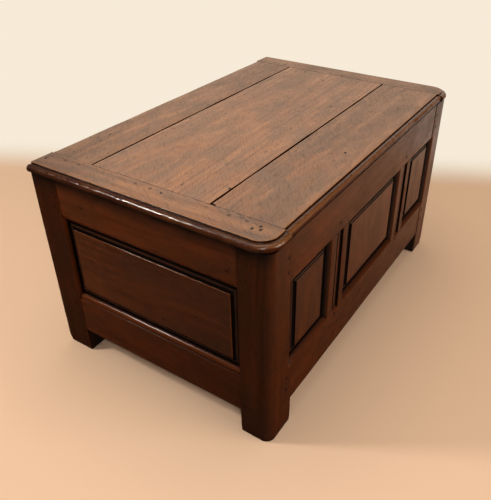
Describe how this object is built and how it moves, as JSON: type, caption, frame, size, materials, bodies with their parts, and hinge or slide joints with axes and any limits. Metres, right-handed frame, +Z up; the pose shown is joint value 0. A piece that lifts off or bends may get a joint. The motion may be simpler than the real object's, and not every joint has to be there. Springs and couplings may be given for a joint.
{
  "type": "joined oak coffer",
  "caption": "Low joined oak coffer: a panelled frame case on post feet, with a planked and cleated lid that swings up on iron strap hinges over one storage space.",
  "frame": {"origin": "on the floor, under the middle of the case", "axes": "+X along the front, to the right as seen from the front; the front faces -Y; +Z up"},
  "size_m": [0.888, 0.5728, 0.4703],
  "materials": {
    "oak_frame": "waxed, satin",
    "oak_panel": "waxed, satin",
    "oak_lid": "waxed, satin",
    "oak_floor": "bare, dry",
    "oak_peg": "waxed end grain",
    "wrought_iron": "blackened, forged"
  },
  "bodies": {
    "case": {"back_bottom_rail": "oak_frame", "back_muntin_left": "oak_frame", "back_muntin_right": "oak_frame", "back_panel_centre": "oak_panel", "back_panel_left": "oak_panel", "back_panel_right": "oak_panel", "back_pegs": "oak_peg", "back_post_left": "oak_frame", "back_post_right": "oak_frame", "back_top_rail": "oak_frame", "floor_board_1": "oak_floor", "floor_board_2": "oak_floor", "floor_board_3": "oak_floor", "floor_board_4": "oak_floor", "floor_board_5": "oak_floor", "front_bottom_rail": "oak_frame", "front_muntin_left": "oak_frame", "front_muntin_right": "oak_frame", "front_panel_centre": "oak_panel", "front_panel_left": "oak_panel", "front_panel_right": "oak_panel", "front_pegs": "oak_peg", "front_post_left": "oak_frame", "front_post_right": "oak_frame", "front_top_rail": "oak_frame", "hinge_pin_left": "wrought_iron", "hinge_pin_right": "wrought_iron", "hinge_plate_left": "wrought_iron", "hinge_plate_nails": "wrought_iron", "hinge_plate_right": "wrought_iron", "left_bottom_rail": "oak_frame", "left_end_panel": "oak_panel", "left_pegs": "oak_peg", "left_top_rail": "oak_frame", "right_bottom_rail": "oak_frame", "right_end_panel": "oak_panel", "right_pegs": "oak_peg", "right_top_rail": "oak_frame"},
    "lid": {"hinge_strap_left": "wrought_iron", "hinge_strap_nails": "wrought_iron", "hinge_strap_right": "wrought_iron", "lid_cleat_left": "oak_lid", "lid_cleat_right": "oak_lid", "lid_pegs": "oak_peg", "lid_plank_back": "oak_lid", "lid_plank_front": "oak_lid", "lid_plank_middle": "oak_lid"}
  },
  "joints": [
    {"name": "lid_hinge", "type": "hinge", "parent": "case", "child": "lid", "pos_m": [0, 0.2814, 0.4453], "axis": [-1, 0, 0], "range_deg": [0, 100]}
  ]
}
